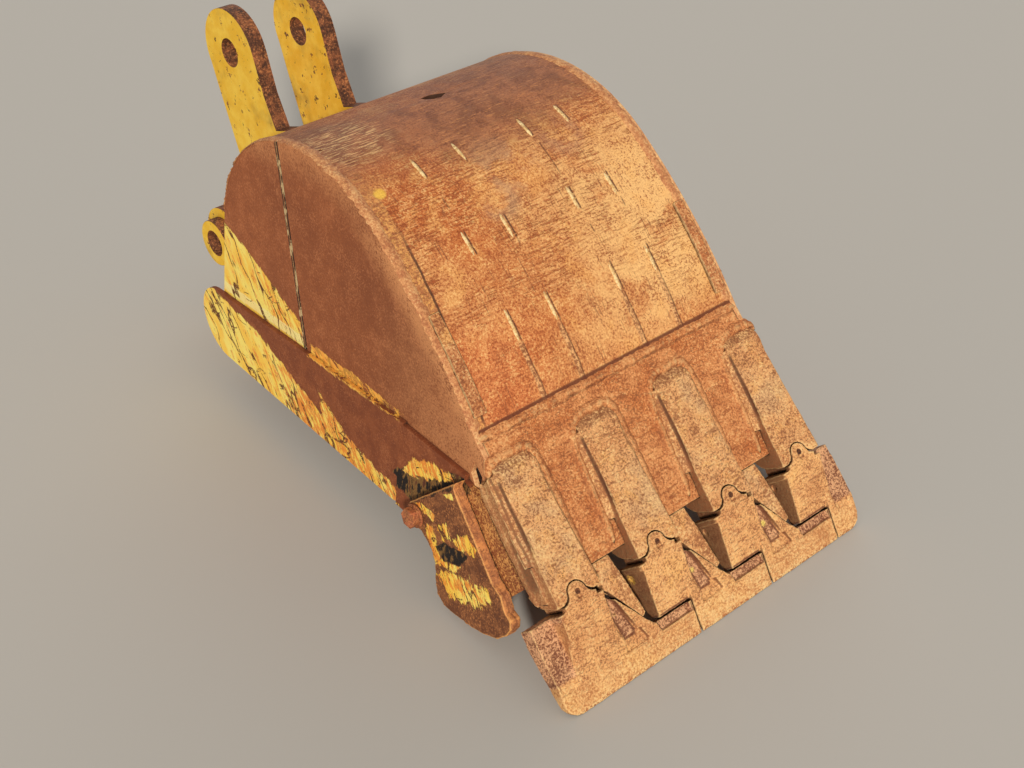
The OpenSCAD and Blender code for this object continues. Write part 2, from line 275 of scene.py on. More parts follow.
# Paint on the strip along the mouth: an outline, and how ragged it is in metres.
STRIP_PAINT = (
    (((1450, 330), (1262, 300), (1100, 246), (930, 226), (848, 200), (836, 60), (1450, 60)), 0.04),
    (((856, 222), (800, 190), (752, 160), (720, 60), (856, 60)), 0.05),
    (((760, 164), (600, 136), (520, 120), (520, 60), (760, 60)), 0.06),
    (((545, 214), (512, 262), (458, 286), (392, 300), (380, 284), (500, 220)), 0.035),
)
# Outline of the paint on the strip that is painted dark as lying in shade.
STRIP_SHADED_PAINT = ((604, 172), (560, 214), (500, 246), (400, 300), (340, 316), (330, 290), (470, 160))
STRIP_FRONT = (345, 335)

# Paint on the side cutter: an outline, and how ragged it is in metres.
CUTTER_PAINT = (
    (((471, 198), (452, 210), (404, 209), (408, 187)), 0.018),
    (((385, 269), (359, 287), (351, 274), (369, 267)), 0.012),
    (((438, 167), (411, 185), (379, 122), (396, 100)), 0.030),
    (((402, 98), (379, 126), (321, 142), (331, 119)), 0.030),
    (((402, 190), (372, 206), (350, 186), (380, 160)), 0.050),
    (((352, 188), (309, 226), (274, 212), (278, 188), (331, 172)), 0.045),
    (((392, 80), (350, 120), (290, 130), (244, 144), (224, 126), (262, 82), (347, 56)), 0.080),
)
CUTTER_PIT = ((400, 139), (377, 166), (292, 186), (324, 140), (372, 121))
# The band below the cutter's top that is painted black as its shadow.
CUTTER_TOP_SHADOW = ((480, 216), (470, 196), (352, 296), (352, 330))

# Marks above the tips end over these u.
TIPS_AT = (0.345, 0.340)
# Across from the first tooth's middle, where the first tooth is past and where the last begins.
PAST_FIRST = (0.06, 0.07)
BEFORE_LAST = (0.56, 0.55)
# Outlines on the tips, as x from the first tooth's or each tooth's middle, and u.
FLANGES = (((-0.120, 0.335), (-0.050, 0.335), (-0.056, 0.456), (-0.120, 0.456)),
           ((LAST_TOOTH + 0.120, 0.335), (LAST_TOOTH + 0.058, 0.335),
            (LAST_TOOTH + 0.062, 0.456), (LAST_TOOTH + 0.120, 0.456)))
TIP_PAD = ((-0.054, 0.449), (0.034, 0.449), (0.035, 0.474), (-0.046, 0.474))
TIP_POCKET = ((0.058, 0.352), (0.078, 0.370), (0.098, 0.450), (0.070, 0.450))
BLADE_FROM = (0.470, 0.482)
FRONT_FACE_FROM = (0.5150, 0.5185)
# Flecks of old paint on the tips: which tooth, x from its middle, u and radius.
TIP_FLECKS = ((1, 0.071, 0.409, 0.009), (2, 0.072, 0.409, 0.010),
              (0, 0.072, 0.400, 0.007), (1, 0.073, 0.445, 0.006))
FLECK_V = -0.012
PAINT_RING = on_lip(TOOTH_X[1] - 0.052, 0.367, -0.036)
PAINT_RING_R = 0.013

# Left walls in the gaps between the teeth get painted shade; the outer one, left of this X, does not.
PAST_LEFT_WALL = (-0.31, -0.28)

# The adapters' left flank: x of its upper edge at u = 0, and how it spreads with u.
FLANK_X = 0.0305
FLANK_SPREAD = 0.045
# Where its painted shadow line and the first adapter's ridges start and end down the lip.
FLANK_SHADOW_LINE = ((0.078, 0.092), (0.24, 0.20))
RIDGES_RUN = ((0.052, 0.070), (0.30, 0.28))
# The ridges on the first adapter's flank lie this far outside that edge.
RIDGES_OUT = (0.010, 0.020)

# The soft rim of weld round an adapter, as millimetres across from its middle and down.
WELD_RIM = ((-68, 286), (-66, 250), (-61, 190), (-55, 120), (-50, 90), (-43, 72), (-36, 60), (-22, 49),
            (-4, 46), (22, 46), (46, 47), (58, 54), (65, 70), (66, 110), (64, 170), (62, 230), (60, 286))
# Which of these points each adapter has, as the outer two have a side plate beside them.
WELD_PARTS = (slice(5, None), slice(None), slice(None), slice(13))


class Finish:
    """The nodes of one material. Each short call adds what it needs and returns its output."""

    def __init__(self, name):
        self.mat = bpy.data.materials.new(name)
        self.mat.use_nodes = True
        self.tree = self.mat.node_tree
        self.tree.nodes.clear()
        self.place = self.node("ShaderNodeTexCoord").outputs["Object"]
        self.x, self.y, self.z = self.apart(self.place)
        self.skin = self.node("ShaderNodeNewGeometry")
        self.facing_x, _, self.facing_z = self.apart(self.skin.outputs["Normal"])
        self.relief = 0.0

    def node(self, kind, **settings):
        made = self.tree.nodes.new(kind)
        for key, value in settings.items():
            setattr(made, key, value)
        return made

    def feed(self, socket, value):
        if isinstance(value, bpy.types.NodeSocket):
            self.tree.links.new(value, socket)
        else:
            socket.default_value = value

    def apart(self, vector):
        made = self.node("ShaderNodeSeparateXYZ")
        self.feed(made.inputs[0], vector)
        return made.outputs

    def calc(self, operation, a, b=0.0, c=0.0):
        made = self.node("ShaderNodeMath", operation=operation)
        for socket, value in zip(made.inputs, (a, b, c)):
            self.feed(socket, value)
        return made.outputs[0]

    def vector(self, operation, *inputs):
        """The Vector and the Value that an operation on vectors gives."""
        made = self.node("ShaderNodeVectorMath", operation=operation)
        for socket, value in zip(made.inputs, inputs):
            self.feed(socket, value)
        return made.outputs

    def scaled(self, value, by, plus=0.0):
        return self.calc("MULTIPLY_ADD", value, by, plus)

    def stretch(self, x, y, z, place=None):
        """The place with each axis squeezed by its own factor."""
        return self.vector("MULTIPLY", place or self.place, (x, y, z))[0]

    def along(self, origin, direction):
        """How far each place lies from origin along a direction."""
        moved = self.vector("SUBTRACT", self.place, origin)[0]
        return self.vector("DOT_PRODUCT", moved, direction)["Value"]

    def turned(self, direction, far, near):
        """The place seen along a direction of the side: drawn out along it, fine across it."""
        across = Vector((0, -direction[2], direction[1]))
        made = self.node("ShaderNodeCombineXYZ")
        self.feed(made.inputs[0], self.scaled(self.x, near))
        self.feed(made.inputs[1], self.scaled(self.along((0, 0, 0), direction), far))
        self.feed(made.inputs[2], self.scaled(self.along((0, 0, 0), across), near))
        return made.outputs[0]

    def noise(self, scale=1.0, detail=3.0, rough=0.55, at=None, warp=0.0):
        made = self.node("ShaderNodeTexNoise")
        self.feed(made.inputs["Vector"], at or self.place)
        made.inputs["Scale"].default_value = scale
        made.inputs["Detail"].default_value = detail
        made.inputs["Roughness"].default_value = rough
        made.inputs["Distortion"].default_value = warp
        return made.outputs["Fac"]

    def drawn_out(self, direction, far, near, detail, rough):
        """A noise drawn out along a direction of the side."""
        return self.noise(detail=detail, rough=rough, at=self.turned(direction, far, near))

    def wander(self, amount, scale, detail=3.0, rough=0.55):
        """A noise round zero that pushes a line about by up to half of amount."""
        return self.scaled(self.noise(scale, detail, rough), amount, -amount / 2)

    def warped(self, amount, scale):
        """The place pushed about by a noise, so that lines drawn on it wander."""
        push = self.node("ShaderNodeTexNoise")
        self.feed(push.inputs["Vector"], self.place)
        push.inputs["Scale"].default_value = scale
        push.inputs["Detail"].default_value = 3.0
        centred = self.vector("SUBTRACT", push.outputs["Color"], (0.5, 0.5, 0.5))[0]
        return self.vector("MULTIPLY_ADD", centred, (amount, amount, amount), self.place)[0]

    def step(self, value, low, high):
        """0 at low and 1 at high, smooth between and level beyond; low may be the larger."""
        made = self.node("ShaderNodeMapRange", interpolation_type="SMOOTHSTEP")
        self.feed(made.inputs["Value"], value)
        made.inputs["From Min"].default_value = min(low, high)
        made.inputs["From Max"].default_value = max(low, high)
        made.inputs["To Min"].default_value = 0.0 if low < high else 1.0
        made.inputs["To Max"].default_value = 1.0 if low < high else 0.0
        return made.outputs["Result"]

    def line(self, value, edge, core, middle=0.0):
        """1 on the line where value is middle, as far as core off it, and 0 beyond edge."""
        off = self.calc("SUBTRACT", value, middle) if middle else value
        return self.step(self.calc("ABSOLUTE", off), edge, core)

    def other(self, share):
        """1 where a share is 0, and 0 where it is 1."""
        return self.calc("SUBTRACT", 1.0, share)

    def both(self, *shares):
        result = shares[0]
        for share in shares[1:]:
            result = self.calc("MULTIPLY", result, share)
        return result

    def either(self, *shares):
        result = shares[0]
        for share in shares[1:]:
            result = self.calc("MAXIMUM", result, share)
        return result

    def blend(self, share, below, above, amount=1.0):
        made = self.node("ShaderNodeMix", data_type="RGBA")
        self.feed(made.inputs["Factor"], share if amount == 1.0 else self.both(share, amount))
        self.feed(made.inputs[6], below)
        self.feed(made.inputs[7], above)
        return made.outputs[2]

    def within(self, corners, a, b):
        """How far inside a convex outline each place lies, in metres, on the axes a and b."""
        pairs = list(zip(corners, corners[1:] + corners[:1]))
        turn = math.copysign(1, sum(p[0] * q[1] - q[0] * p[1] for p, q in pairs))
        inside = None
        for (a0, b0), (a1, b1) in pairs:
            length = math.hypot(a1 - a0, b1 - b0) * turn
            na, nb = (b0 - b1) / length, (a1 - a0) / length
            part = self.scaled(b, nb, -(na * a0 + nb * b0))
            part = self.scaled(a, na, part)
            inside = part if inside is None else self.calc("MINIMUM", inside, part)
        return inside

    def on_side(self, corners):
        """How far inside an outline of the side drawing each place lies."""
        return self.within([side_point(m, z) for m, z in corners], self.y, self.z)

    def distance(self, centre, place=None):
        return self.vector("DISTANCE", place or self.place, centre)["Value"]

    def near(self, centre, radius, soft=0.5):
        """1 inside a ball round a place, fading out at its rim."""
        return self.step(self.distance(centre), radius, radius * (1 - soft))

    def front(self):
        """1 on the shell's front and 0 on its back."""
        return self.step(self.y, *FRONT_ENDS)

    def left(self):
        """1 on the left half of the bucket."""
        return self.step(self.x, *LEFT_FROM)

    def crevice_shade(self, reach, open_share, shut_share):
        """Painted shade: 1 deep in a gap or a corner, 0 on open faces."""
        made = self.node("ShaderNodeAmbientOcclusion", samples=6)
        made.inputs["Distance"].default_value = reach
        return self.step(made.outputs["AO"], open_share, shut_share)

    def facing(self, direction):
        """1 where the skin faces along a direction, 0 square to it."""
        return self.vector("DOT_PRODUCT", self.skin.outputs["Normal"], direction)["Value"]

    def worn_edge(self, low=0.52, high=0.56):
        return self.step(self.skin.outputs["Pointiness"], low, high)

    def sideways(self, low=0.6, high=0.8):
        """1 where the skin faces left or right."""
        return self.step(self.calc("ABSOLUTE", self.facing_x), low, high)

    def done(self, colour, rough, height, depth):
        """The finished material; depth is how high its fine relief stands, in metres."""
        shader = self.node("ShaderNodeBsdfPrincipled")
        self.feed(shader.inputs["Base Color"], colour)
        self.feed(shader.inputs["Roughness"], rough)
        shader.inputs["Specular IOR Level"].default_value = 0.35
        bump = self.node("ShaderNodeBump")
        bump.inputs["Distance"].default_value = depth
        self.feed(bump.inputs["Height"], height)
        self.feed(shader.inputs["Normal"], bump.outputs[0])
        out = self.node("ShaderNodeOutputMaterial")
        self.feed(out.inputs["Surface"], shader.outputs[0])
        return self.mat


def speckled(f, colour, dark, light, size, amount):
    """Rust grain over a colour: dark pits and pale specks of a few millimetres."""
    grain = f.noise(size, detail=4, rough=0.8)
    patchy = f.noise(size / 9, detail=3, rough=0.6)
    grain = f.scaled(patchy, 0.3, f.scaled(grain, 0.95))
    colour = f.blend(f.step(grain, 0.62, 0.51), colour, dark, amount)
    colour = f.blend(f.step(grain, 0.64, 0.76), colour, light, amount)
    return colour, grain


def shell_tones(f, broad, patch):
    """Orange rust, pale on the right and redder at the lower left."""
    colour = f.blend(f.step(broad, 0.40, 0.60), RUST_ORANGE, RUST_TAN)
    pale_x = f.scaled(patch, 0.3, f.x)
    pale = f.both(f.step(pale_x, 0.0, 0.36), f.step(f.z, *PALE_BOTTOM), f.step(f.z, *PALE_TOP))
    colour = f.blend(pale, colour, SHELL_PALE, 0.9)
    colour = f.blend(f.step(patch, 0.52, 0.68), colour, RUST_ORANGE, 0.6)
    colour = f.blend(f.step(patch, 0.48, 0.34), colour, RUST_GOLD, 0.45)
    low_left = f.both(f.step(pale_x, 0.10, -0.10), f.step(f.z, *LOW_LEFT_TOP))
    return f.blend(low_left, colour, SHELL_LOW, 0.6)


def shell_scratches(f, colour, patch, across):
    """Short dark dashes and shine across the shell, and fine lines up it."""
    down = f.noise(rough=0.65, at=f.stretch(330, 14, 14))
    scratched = f.both(f.step(f.noise(7), 0.42, 0.58), f.step(f.z, *SCRATCHED_BOTTOM))
    dashes = f.both(f.step(across, 0.47, 0.38), f.scaled(scratched, 0.8, 0.1))
    colour = f.blend(dashes, colour, RUST_RED, 0.85)
    shining = f.both(f.step(across, 0.56, 0.66), scratched)
    colour = f.blend(shining, colour, SHELL_SHINE, 0.5)
    lines = f.both(f.step(down, 0.42, 0.34), f.step(patch, 0.46, 0.56))
    return f.blend(lines, colour, RUST_BROWN, 0.75), dashes


def wear_columns(f, colour, grain):
    """Weathered lines up the shell below and beside the short dashes of weld."""
    front = f.front()
    low = f.both(front, f.step(f.z, *map(shell_height, WEAR_TOP)))
    rows = [f.both(front, f.step(f.z, shell_height(start), shell_height(start + 5)),
                   f.step(f.z, shell_height(end), shell_height(end - 5)))
            for start, end in WEAR_ROWS]
    faint = f.step(f.noise(16), 0.56, 0.62)
    beside_dash = f.either(*rows, f.both(front, faint, 0.7))
    wander = f.wander(0.006, 20, detail=2)
    fine = f.noise(150, rough=0.8)
    trace_tone = f.blend(f.step(fine, 0.42, 0.60), RUST_BROWN, TRACE_PALE)
    for x in WEAR_X:
        off = f.calc("ADD", f.calc("SUBTRACT", f.x, x), wander)
        trace = f.both(f.line(off, 0.0065, 0.0030), low)
        colour = f.blend(trace, colour, trace_tone, 0.8)
        beside = f.line(off, 0.0026, 0.0008, middle=0.0062)
        shown = f.both(beside, f.either(beside_dash, f.both(low, 0.8)))
        colour = f.blend(f.both(shown, f.step(grain, 0.80, 0.66)), colour, RUST_DARK, 0.9)
    return colour


def ledge_band_and_shadow(f, colour):
    """A dark edge, painted as the ledge's shadow, with a pale one beside it, where the left corner's
    weld ends.
    """
    from_side = f.scaled(f.y, -SIDE_LEAN, HALF_WIDTH / 1000 + TIPS_Y * SIDE_LEAN)
    from_side = f.calc("ADD", from_side, f.x)
    spread = f.scaled(f.z, 0.060, 0.017)
    wander = f.wander(0.012, 16, detail=4, rough=0.6)
    off = f.calc("ADD", f.calc("SUBTRACT", from_side, spread), wander)
    band_tone = f.blend(f.step(f.noise(130, detail=4, rough=0.8), 0.44, 0.60), LEDGE_BROWN, RUST_GOLD)
    band = f.both(f.front(), f.step(off, 0.0, -0.003), f.step(f.z, *LEDGE_BAND_TOP))
    colour = f.blend(band, colour, band_tone, 0.75)
    # Painted shadow: the dark line along the ledge.
    here = f.both(f.front(), f.step(f.z, *LEDGE_SHADOW_BOTTOM), f.step(f.z, *LEDGE_SHADOW_TOP))
    return f.blend(f.both(f.line(off, 0.0036, 0.0016), here), colour, RUST_DARK, 0.9)


def crown_shade(f, colour, broad, patch, across, grain):
    """Painted shade where the shell turns over at its crown: darker rust there."""
    crown_tone = f.blend(f.step(patch, 0.40, 0.60), CROWN_SHADE_DARK, CROWN_SHADE_TONE)
    crown_tone = f.blend(f.step(across, 0.56, 0.68), crown_tone, RUST_TAN, 0.8)
    crown_tone = f.blend(f.step(across, 0.44, 0.34), crown_tone, RUST_DARK, 0.6)
    crown_tone = f.blend(f.step(grain, 0.60, 0.52), crown_tone, RUST_DARK, 0.5)
    top = f.step(f.scaled(broad, 0.10, f.z), *CROWN_SHADE_BOTTOM)
    return f.blend(top, colour, crown_tone, 0.88)


def shell_rust():
    f = Finish("shell_rust")
    broad = f.noise(4.0)
    patch = f.noise(14, detail=4, rough=0.6, warp=0.5)
    across = f.noise(detail=4, rough=0.7, at=f.stretch(34, 260, 260))
    colour = shell_tones(f, broad, patch)
    colour, grain = speckled(f, colour, SHELL_PIT, SHELL_SPECK, 225, 0.85)
    colour, dashes = shell_scratches(f, colour, patch, across)
    for x, along, radius, tone in SHELL_SPOTS:
        spot = f.both(f.near(shell_spot(x, along), radius / 1000), f.step(patch, 0.40, 0.54))
        colour = f.blend(spot, colour, tone, 0.5)
    colour = wear_columns(f, colour, grain)
    colour = ledge_band_and_shadow(f, colour)
    colour = crown_shade(f, colour, broad, patch, across, grain)
    bright_corner = f.both(f.near(shell_spot(*BRIGHT_CORNER), 0.11), f.step(across, 0.50, 0.60))
    colour = f.blend(bright_corner, colour, RUST_CREAM, 0.6)
    yellow_spot = f.both(f.near(shell_spot(*YELLOW_SPOT), 0.016), f.step(patch, 0.3, 0.5))
    colour = f.blend(yellow_spot, colour, PAINT_YELLOW, 0.8)

    # Painted shade: black inside the hole and in the shell's crevices.
    hole_shade = f.both(f.near(shell_spot(*SHELL_HOLE), 0.05, 0.1), f.step(f.facing_z, 0.8, 0.5))
    colour = f.blend(f.either(hole_shade, f.crevice_shade(0.010, 0.5, 0.2)), colour, RUST_BLACK, 0.85)
    seam = f.both(f.step(f.z, *map(shell_height, SEAM_LINE)), f.step(f.y, *SEAM_LINE_END),
                  f.other(f.sideways()))
    colour = f.blend(seam, colour, SEAM_BROWN, 0.9)
    height = f.scaled(patch, 0.5, f.scaled(grain, 0.9))
    height = f.calc("SUBTRACT", height, f.scaled(dashes, 0.35))
    return f.done(colour, f.scaled(patch, 0.3, 0.5), height, depth=0.0022)


def paint_over(f, colour, share, grain, age):
    """Old paint where share is 1. Its orange streaks and bare hairlines grow with age."""
    clouds = f.drawn_out(PAINT_RUN, 9, 26, detail=4, rough=0.6)
    paint = f.blend(f.step(clouds, 0.42, 0.60), PAINT_YELLOW, PAINT_PALE)
    streaks = f.drawn_out(PAINT_RUN, 24, 96, detail=4, rough=0.75)
    aged = f.scaled(age, 0.13, streaks)
    paint = f.blend(f.step(aged, 0.56, 0.68), paint, PAINT_ORANGE, 0.9)
    hair = f.drawn_out(PAINT_RUN, 40, 170, detail=4, rough=0.8)
    hair = f.step(f.scaled(age, 0.045, hair), 0.62, 0.66)
    hair = f.both(hair, f.step(f.noise(30), 0.40, 0.54))
    winding = f.drawn_out(PAINT_RUN, 6, 17, detail=2, rough=0.5)
    branch = f.drawn_out(BRANCH_RUN, 7, 24, detail=2, rough=0.5)
    gaps = f.noise(17)
    cracks = f.either(f.both(f.line(winding, 0.024, 0.010, middle=0.5), f.step(gaps, 0.36, 0.42)),
                      f.both(f.line(branch, 0.022, 0.008, middle=0.47), f.step(gaps, 0.54, 0.58)))
    lost = f.either(f.both(cracks, f.step(grain, 0.72, 0.64)), hair)
    colour = f.blend(f.both(share, lost), colour, PAINT_BARE, 0.85)
    left = f.both(share, f.other(lost))
    return f.blend(left, colour, paint), left


def paint_age(f):
    """How worn the paint on the left side is, from the back to the front."""
    return f.step(f.y, *map(side_y, PAINT_AGES))


def paint_done(f, colour, left, grain):
    """Paint stands a little above the rust and is smoother."""
    height = f.scaled(left, 0.45, f.scaled(grain, 0.7))
    return f.done(colour, f.scaled(left, -0.25, 0.75), height, depth=0.0016)


def ragged(f, inside, amount, soft=0.003):
    """A share whose edge is torn along the run of the old paint."""
    torn = f.drawn_out(PAINT_RUN, 30, 66, detail=5, rough=0.75)
    moved = f.calc("ADD", inside, f.scaled(torn, amount, -amount / 2))
    return f.step(moved, 0.0, soft)


def paint_chips(f):
    """What is left of a band of paint, in ragged chips that thin out toward the front."""
    torn = f.drawn_out(CHIP_RUN, 26, 100, detail=5, rough=0.75)
    fuller = f.step(f.y, *map(side_y, CHIPS_THICKEN))
    torn = f.scaled(fuller, 0.12, torn)
    band = ragged(f, f.on_side(CHIPS_BAND), 0.022, 0.002)
    return f.both(f.left(), band, f.step(torn, 0.53, 0.57))


def near_rim(f):
    """1 at the rolled edge of a side plate, fading out over some centimetres of it."""
    shares = []
    for (radius, _), start in zip(ROLLS, (0, ROLLS_MEET)):
        place, out = shell_place(0, start)
        away = f.distance(place - out * radius / 1000, f.stretch(0, 1, 1))
        shares.append(f.line(f.calc("SUBTRACT", radius / 1000, away), 0.085, 0.0))
    meet = shell_height(ROLLS_MEET)
    return f.either(f.both(shares[0], f.step(f.z, meet + 0.03, meet - 0.03)),
                    f.both(shares[1], f.step(f.z, meet - 0.03, meet + 0.03), 0.6))


def groove_shade(f, colour):
    """The groove down the left side plate: painted black as shade, with pale flakes in it."""
    off = f.along((0, *side_point(*GROOVE_AT)), GROOVE_ACROSS)
    # Painted shade: the groove's black.
    dark = f.both(f.line(off, 0.0070, 0.0045), f.sideways(0.2, 0.4))
    colour = f.blend(dark, colour, RUST_BLACK, 0.95)
    flakes = f.noise(rough=0.6, at=f.stretch(120, 120, 26))
    here_and_there = f.step(f.noise(40), 0.40, 0.50)
    flake = f.both(dark, f.step(flakes, 0.52, 0.57), here_and_there)
    return f.blend(flake, colour, WELD_CREAM, 0.5)


def side_rust():
    f = Finish("side_rust")
    broad = f.noise(3.5)
    blotch = f.noise(24, detail=5, rough=0.65)
    colour = f.blend(f.step(broad, 0.30, 0.70), SIDE_SHADE, SIDE_BROWN, 0.8)
    colour = f.blend(f.step(blotch, 0.50, 0.68), colour, SIDE_LIGHT, 0.22)
    colour = f.blend(f.step(blotch, 0.48, 0.34), colour, SIDE_SHADE, 0.35)
    colour, grain = speckled(f, colour, SIDE_SHADE, SIDE_LIGHT, 230, 0.65)
    forward = f.step(f.along((0, *side_point(*WORN_FROM)), WORN_TOWARD), -0.12, 0.20)
    worn = f.either(f.both(forward, 0.7), near_rim(f))
    colour = f.blend(f.both(worn, f.step(grain, 0.48, 0.64)), colour, SIDE_WORN, 0.75)

    # The rim faces painted paler: worn bare steel, and a painted highlight.
    rim_wear_and_highlight = f.other(f.sideways(0.45, 0.75))
    scale = f.noise(75, detail=4, rough=0.7)
    rim_tone = f.blend(f.step(scale, 0.36, 0.60), RIM_BROWN, RIM_PALE)
    rim_tone = f.blend(f.step(grain, 0.58, 0.72), rim_tone, RUST_CREAM, 0.7)
    colour = f.blend(rim_wear_and_highlight, colour, rim_tone, 0.85)

    chips = paint_chips(f)
    behind = ragged(f, f.on_side(PAINT_BEHIND), 0.030)
    share = f.either(f.both(f.left(), behind, f.sideways()), chips)
    colour, left = paint_over(f, colour, share, grain, paint_age(f))
    colour = f.blend(chips, colour, PAINT_CHIP, 0.6)
    # Painted highlight: paler paint along the foot of the side plate, above the strip.
    foot_highlight = f.both(left, ragged(f, f.on_side(PAINT_AT_FOOT), 0.012))
    colour = f.blend(foot_highlight, colour, PAINT_FOOT_HIGHLIGHT, 0.6)

    colour = groove_shade(f, colour)
    # Painted shade: black in the side plate's crevices.
    colour = f.blend(f.crevice_shade(0.012, 0.6, 0.3), colour, RUST_BLACK, 0.8)
    return paint_done(f, colour, left, grain)


def edge_paint():
    f = Finish("edge_paint")
    blotch = f.noise(28, detail=5, rough=0.6)
    colour = f.blend(f.step(blotch, 0.40, 0.62), STRIP_BROWN, SIDE_BROWN, 0.4)
    colour, grain = speckled(f, colour, SIDE_SHADE, SIDE_LIGHT, 220, 0.4)
    outer = f.both(f.sideways(), f.left())
    patches = [ragged(f, f.on_side(outline), amount) for outline, amount in STRIP_PAINT]
    chips = paint_chips(f)
    share = f.either(f.both(outer, f.either(*patches)), chips)
    colour, left = paint_over(f, colour, share, grain, paint_age(f))
    colour = f.blend(chips, colour, PAINT_CHIP, 0.6)

    # Painted shade: the paint ahead on the strip that lies in shade, painted dark olive, brown and
    # black.
    shaded_paint = f.both(outer, ragged(f, f.on_side(STRIP_SHADED_PAINT), 0.02), f.other(left))
    dark_streaks = f.noise(detail=4, rough=0.7, at=f.stretch(30, 60, 22))
    shaded_tone = f.blend(f.step(dark_streaks, 0.48, 0.54), RUST_BLACK, PAINT_OLIVE)
    shaded_tone = f.blend(f.step(dark_streaks, 0.57, 0.63), shaded_tone, SHADED_PAINT_BROWN)
    colour = f.blend(shaded_paint, colour, shaded_tone)
    ahead = f.step(f.y, *map(side_y, STRIP_FRONT))
    colour = f.blend(f.both(ahead, f.step(grain, 0.56, 0.74)), colour, RUST_GOLD, 0.7)
    # Painted shade: black in the strip's crevices.
    colour = f.blend(f.crevice_shade(0.02, 0.6, 0.25), colour, RUST_BLACK, 0.85)
    return paint_done(f, colour, left, grain)


def cutter_paint():
    f = Finish("cutter_paint")
    blotch = f.noise(36, detail=5, rough=0.65)
    face = f.both(f.step(f.facing_x, -0.75, -0.9), f.left())
    plain = f.blend(f.step(blotch, 0.44, 0.60), CUTTER_SHADE, CUTTER_BROWN)
    edge = f.blend(f.step(blotch, 0.42, 0.60), CUTTER_EDGE, RUST_TAN)
    colour = f.blend(face, edge, plain)
    colour, grain = speckled(f, colour, RUST_DARK, RUST_TAN, 210, 0.6)
    patches = [ragged(f, f.on_side(outline), amount, 0.002) for outline, amount in CUTTER_PAINT]
    colour, left = paint_over(f, colour, f.both(face, f.either(*patches)), grain, 0.8)

    dark_streaks = f.noise(detail=4, rough=0.7, at=f.stretch(30, 90, 45))
    burnt = f.blend(f.step(dark_streaks, 0.50, 0.60), RUST_BLACK, PAINT_OLIVE)
    colour = f.blend(f.both(face, ragged(f, f.on_side(CUTTER_PIT), 0.02)), colour, burnt)
    # Painted shadow: black streaks in the band below the cutter's top.
    under_top_shadow = ragged(f, f.on_side(CUTTER_TOP_SHADOW), 0.02)
    colour = f.blend(f.both(face, under_top_shadow, f.step(dark_streaks, 0.56, 0.50)), colour, RUST_BLACK, 0.85)
    ridges = f.drawn_out(tuple(LIP_DOWN), 6, 150, detail=2, rough=0.6)
    colour = f.blend(f.both(f.other(face), f.step(ridges, 0.46, 0.38)), colour, RUST_BROWN, 0.7)
    colour = f.blend(f.worn_edge(0.515, 0.55), colour, RUST_GOLD, 0.6)
    # Painted shade: black in the cutter's crevices.
    colour = f.blend(f.crevice_shade(0.02, 0.55, 0.2), colour, RUST_BLACK, 0.85)
    height = f.scaled(left, 0.5, f.scaled(grain, 0.8))
    return f.done(colour, 0.7, height, depth=0.0020)


def ear_paint():
    f = Finish("ear_paint")
    torn = f.noise(22, detail=6, rough=0.65)
    paint = f.blend(f.step(torn, 0.35, 0.7), EAR_YELLOW, EAR_PALE)
    steel = f.blend(f.step(f.noise(34, detail=4, rough=0.7), 0.44, 0.58), RUST_DARK, RUST_BROWN)
    steel, grain = speckled(f, steel, RUST_BLACK, RUST_TAN, 190, 0.6)
    worn = f.either(f.step(f.noise(48, detail=5, rough=0.7), 0.60, 0.64), f.worn_edge())
    share = f.both(f.sideways(0.5, 0.7), f.other(worn))
    colour = f.blend(share, steel, paint)
    dirt = f.step(f.noise(9, detail=4, rough=0.6), 0.50, 0.75)
    # Dirt in patches, and painted shade in the crevices, darken the ear.
    colour = f.blend(f.either(dirt, f.crevice_shade(0.03, 0.8, 0.3)), colour, RUST_DARK, 0.5)
    return f.done(colour, f.scaled(share, -0.25, 0.72), grain, depth=0.0012)


def cast_steel(name, tone, patches, dark=RUST_BROWN, light=RUST_CREAM, size=215):
    """Coarse rust on cast steel: its finish with the relief set, its colour and its grain."""
    f = Finish(name)
    drift = f.noise(9, detail=4, rough=0.6, warp=0.3)
    blotch = f.noise(36, detail=5, rough=0.75, warp=0.4)
    colour = f.blend(f.step(drift, 0.44, 0.64), tone, patches[0], 0.7)
    colour = f.blend(f.step(drift, 0.48, 0.34), colour, patches[1], 0.6)
    colour = f.blend(f.step(blotch, 0.50, 0.66), colour, patches[2], 0.55)
    colour, grain = speckled(f, colour, dark, light, size, 0.85)
    wipes = f.noise(rough=0.6, at=f.stretch(30, 130, 130, f.warped(0.05, 6)))
    colour = f.blend(f.step(wipes, 0.42, 0.34), colour, dark, 0.6)
    folds = f.noise(rough=0.6, at=f.stretch(26, 74, 74, f.warped(0.04, 9)))
    folds = f.both(f.line(folds, 0.018, 0.006, middle=0.5), f.step(drift, 0.46, 0.54))
    colour = f.blend(folds, colour, RUST_BROWN, 0.75)
    # Painted shade: side walls darker brown, and left walls in the gaps between the teeth darker still.
    colour = f.blend(f.sideways(0.30, 0.70), colour, RUST_BROWN, 0.45)
    left_wall_shade = f.both(f.step(f.facing_x, -0.45, -0.85), f.step(f.x, *PAST_LEFT_WALL))
    colour = f.blend(left_wall_shade, colour, RUST_DARK, 0.6)
    f.relief = f.scaled(blotch, 0.6, grain)
    return f, colour, grain


